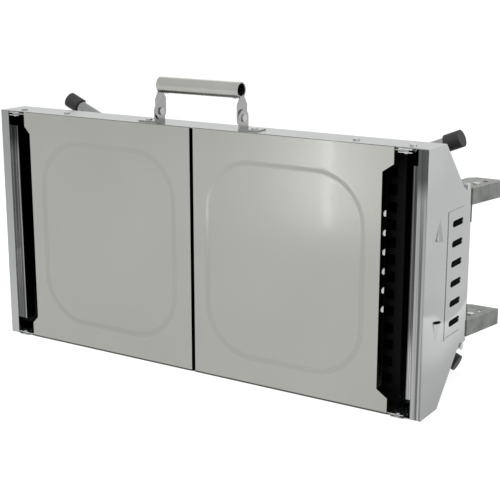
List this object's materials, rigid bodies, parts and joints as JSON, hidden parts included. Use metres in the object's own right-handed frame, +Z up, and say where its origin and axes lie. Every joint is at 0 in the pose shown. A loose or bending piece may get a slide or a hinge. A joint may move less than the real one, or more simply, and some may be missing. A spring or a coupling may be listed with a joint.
{
  "type": "folding charcoal grill",
  "caption": "Folding charcoal grill of sheet steel, folded on its long side, with hinged lids, crossed folding legs and a carrying handle.",
  "frame": {"origin": "centre of the lower rim wall's resting face, with the folded grill standing on its long side", "axes": "+X along the length, +Y from the lids towards the legs, +Z up"},
  "size_m": [0.628, 0.192, 0.354],
  "materials": {
    "lid_steel": "satin polish with soft reflections",
    "wall_steel": "bright polish",
    "panel_steel": "bright polish",
    "burnt_steel": "dark, unpolished",
    "black_enamel": "matt black",
    "galvanised": "galvanised, dull",
    "fastener_steel": "bright zinc",
    "leg_tube": "chrome",
    "cap_rubber": "matt black",
    "grip_tube": "fine brushed round the tube",
    "handle_strap": "polished"
  },
  "bodies": {
    "firebox": {"bottom_plate": "burnt_steel", "charcoal_tray": "black_enamel", "coal_grate": "black_enamel", "cooking_grate_left": "black_enamel", "cooking_grate_right": "black_enamel", "end_panel_left": "panel_steel", "end_panel_right": "panel_steel", "end_rivets_left": "fastener_steel", "end_rivets_right": "fastener_steel", "floor_rivets": "fastener_steel", "grate_ledge_bottom": "burnt_steel", "grate_ledge_top": "burnt_steel", "handle_bracket_left": "handle_strap", "handle_bracket_right": "handle_strap", "handle_bracket_rivet_left": "fastener_steel", "handle_bracket_rivet_right": "fastener_steel", "handle_pivot_left": "fastener_steel", "handle_pivot_right": "fastener_steel", "hinge_clip_left_bottom": "fastener_steel", "hinge_clip_left_top": "fastener_steel", "hinge_clip_right_bottom": "fastener_steel", "hinge_clip_right_top": "fastener_steel", "hinge_pin_left_bottom": "fastener_steel", "hinge_pin_left_top": "fastener_steel", "hinge_pin_right_bottom": "fastener_steel", "hinge_pin_right_top": "fastener_steel", "inner_rail_left": "panel_steel", "inner_rail_right": "panel_steel", "leg_bracket_high_left": "galvanised", "leg_bracket_high_right": "galvanised", "leg_bracket_low_left": "galvanised", "leg_bracket_low_right": "galvanised", "leg_pin_high_left": "fastener_steel", "leg_pin_high_right": "fastener_steel", "leg_pin_low_left": "fastener_steel", "leg_pin_low_right": "fastener_steel", "long_wall_bottom": "wall_steel", "long_wall_top": "wall_steel", "wall_rivets": "fastener_steel"},
    "lid_right": {"lid_ear_right_bottom": "lid_steel", "lid_ear_right_top": "lid_steel", "lid_right": "lid_steel"},
    "lid_left": {"lid_ear_left_bottom": "lid_steel", "lid_ear_left_top": "lid_steel", "lid_left": "lid_steel"},
    "handle": {"grip_rivet_left": "fastener_steel", "grip_rivet_right": "fastener_steel", "handle_arm_left": "handle_strap", "handle_arm_right": "handle_strap", "handle_grip": "grip_tube"},
    "legs_right": {"cross_bolt_right": "fastener_steel", "foot_cap_right_falling": "cap_rubber", "foot_cap_right_rising": "cap_rubber", "leg_right_falling": "leg_tube", "leg_right_rising": "leg_tube"},
    "legs_left": {"cross_bolt_left": "fastener_steel", "foot_cap_left_falling": "cap_rubber", "foot_cap_left_rising": "cap_rubber", "leg_left_falling": "leg_tube", "leg_left_rising": "leg_tube"}
  },
  "joints": [
    {"name": "lid_right_hinge", "type": "hinge", "parent": "firebox", "child": "lid_right", "pos_m": [0.274, -0.0225, 0.15], "axis": [0, 0, 1], "range_deg": [0, 180]},
    {"name": "lid_left_hinge", "type": "hinge", "parent": "firebox", "child": "lid_left", "pos_m": [-0.274, -0.0225, 0.15], "axis": [0, 0, -1], "range_deg": [0, 180]},
    {"name": "handle_pivot", "type": "hinge", "parent": "firebox", "child": "handle", "pos_m": [0, -0.0025, 0.313], "axis": [1, 0, 0], "range_deg": [-90, 90]},
    {"name": "legs_right_fold", "type": "hinge", "parent": "firebox", "child": "legs_right", "pos_m": [0.29424, 0.1275, 0.152], "axis": [0, 0, -1], "range_deg": [0, 90]},
    {"name": "legs_left_fold", "type": "hinge", "parent": "firebox", "child": "legs_left", "pos_m": [-0.29774, 0.1455, 0.152], "axis": [0, 0, 1], "range_deg": [0, 99]}
  ],
  "couplings": [
    {"joint": "legs_left_fold", "follows": "legs_right_fold", "ratio": 1.1}
  ]
}
